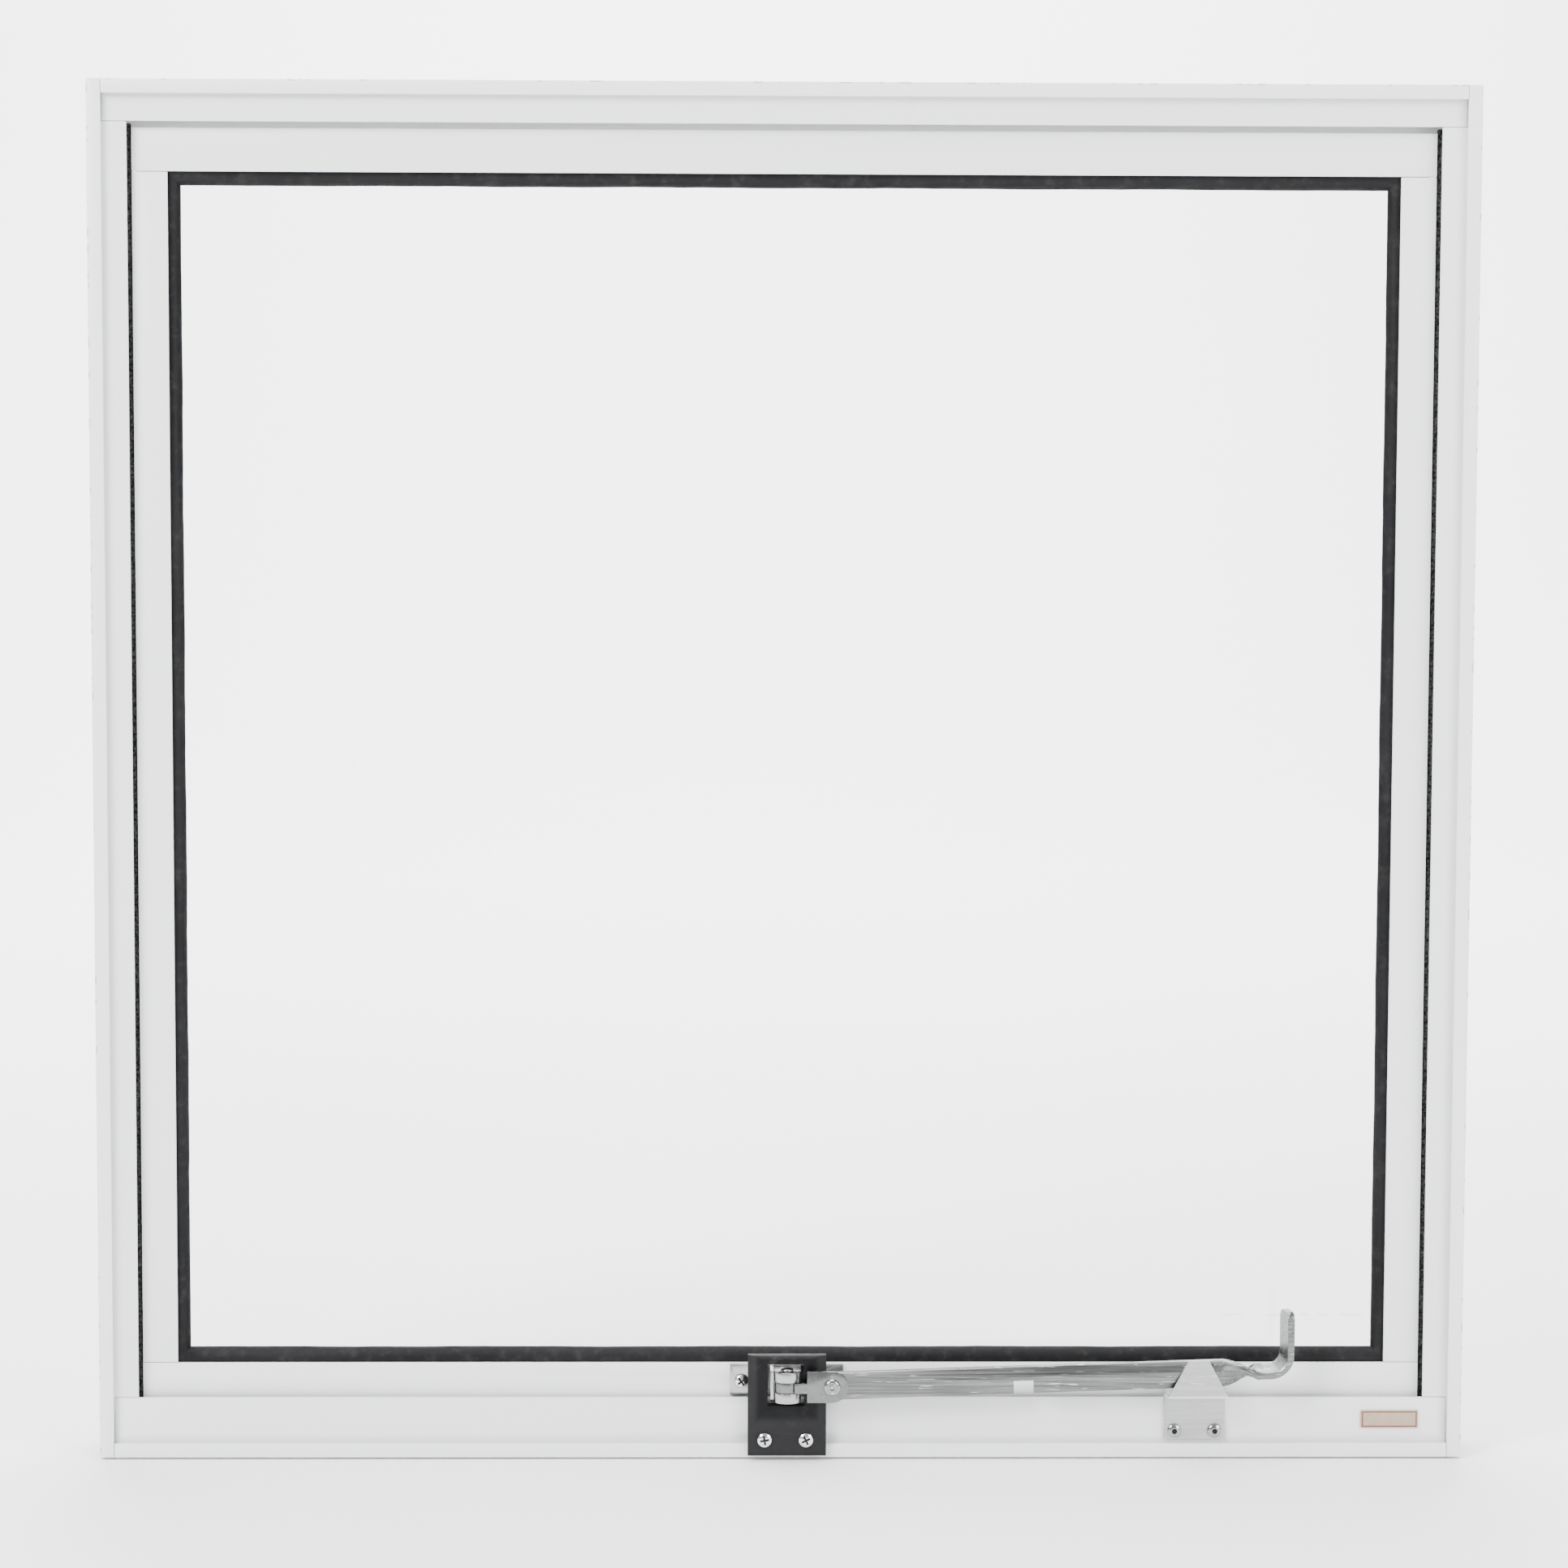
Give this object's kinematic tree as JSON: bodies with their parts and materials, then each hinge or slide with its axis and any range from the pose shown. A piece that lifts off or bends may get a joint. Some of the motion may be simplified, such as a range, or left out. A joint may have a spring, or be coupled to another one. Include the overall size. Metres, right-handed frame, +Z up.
{
  "type": "top-hung window with lever stay",
  "caption": "White top-hung window: a glazed sash swings outward from corner pivots in a square frame, held by a folding lever stay with a sill guide and keeper.",
  "frame": {"origin": "middle of the sill's underside, at half the frame's depth", "axes": "+X to the right as seen from the room, +Y outdoors, +Z up"},
  "size_m": [0.6, 0.0588, 0.6],
  "materials": {
    "black_bush": "black nylon",
    "black_guide": "fine-textured black nylon",
    "bracket_plate": "zinc plated",
    "bright_screw": "bright nickel",
    "gasket_rubber": "satin black rubber",
    "glass": "clear float glass",
    "keeper_plate": "clear anodised",
    "label": "blank anodised plate",
    "lever_bar": "bright drawn bar, lightly scratched",
    "link_plate": "zinc plated",
    "rivet": "bright",
    "seal_pile": "black pile weatherstrip",
    "white_frame": "white powder coat, satin",
    "white_sash": "white powder coat, satin",
    "zinc_screw": "zinc plated"
  },
  "bodies": {
    "frame": {"frame_head": "white_frame", "frame_jamb_left": "white_frame", "frame_jamb_right": "white_frame", "frame_screw_left_foot": "zinc_screw", "frame_screw_left_top": "zinc_screw", "frame_screw_right_foot": "zinc_screw", "frame_screw_right_top": "zinc_screw", "frame_sill": "white_frame", "guide": "black_guide", "guide_screw_left": "bright_screw", "guide_screw_right": "bright_screw", "keeper": "keeper_plate", "keeper_rivet_left": "rivet", "keeper_rivet_right": "rivet", "label_plate": "label", "pivot_pin_left": "zinc_screw", "pivot_pin_right": "zinc_screw", "seal_jamb_left": "seal_pile", "seal_jamb_right": "seal_pile", "seal_sill": "seal_pile"},
    "sash": {"bracket_screw_left": "bright_screw", "bracket_screw_right": "bright_screw", "gasket_outer_side": "gasket_rubber", "gasket_room_side": "gasket_rubber", "glass_pane": "glass", "hinge_pin": "rivet", "pivot_bush_left": "black_bush", "pivot_bush_right": "black_bush", "sash_bottom_rail": "white_sash", "sash_bracket": "bracket_plate", "sash_screw_left_foot": "zinc_screw", "sash_screw_left_top": "zinc_screw", "sash_screw_right_foot": "zinc_screw", "sash_screw_right_top": "zinc_screw", "sash_stile_left": "white_sash", "sash_stile_right": "white_sash", "sash_top_rail": "white_sash"},
    "link": {"link": "link_plate", "lever_rivet": "rivet"},
    "lever": {"lever": "lever_bar"}
  },
  "joints": [
    {"name": "sash_hinge", "type": "hinge", "parent": "frame", "child": "sash", "pos_m": [0, -0.005, 0.575], "axis": [1, 0, 0], "range_deg": [0, 18]},
    {"name": "link_swing", "type": "hinge", "parent": "sash", "child": "link", "pos_m": [0.002, -0.0286, 0.0335], "axis": [0, 0, -1], "range_deg": [0, 90]},
    {"name": "lever_tilt", "type": "hinge", "parent": "link", "child": "lever", "pos_m": [0.0216, -0.0307, 0.0342], "axis": [0, -1, 0], "range_deg": [0, 10.8]}
  ],
  "couplings": [
    {"joint": "lever_tilt", "follows": "sash_hinge", "ratio": 0.6}
  ]
}
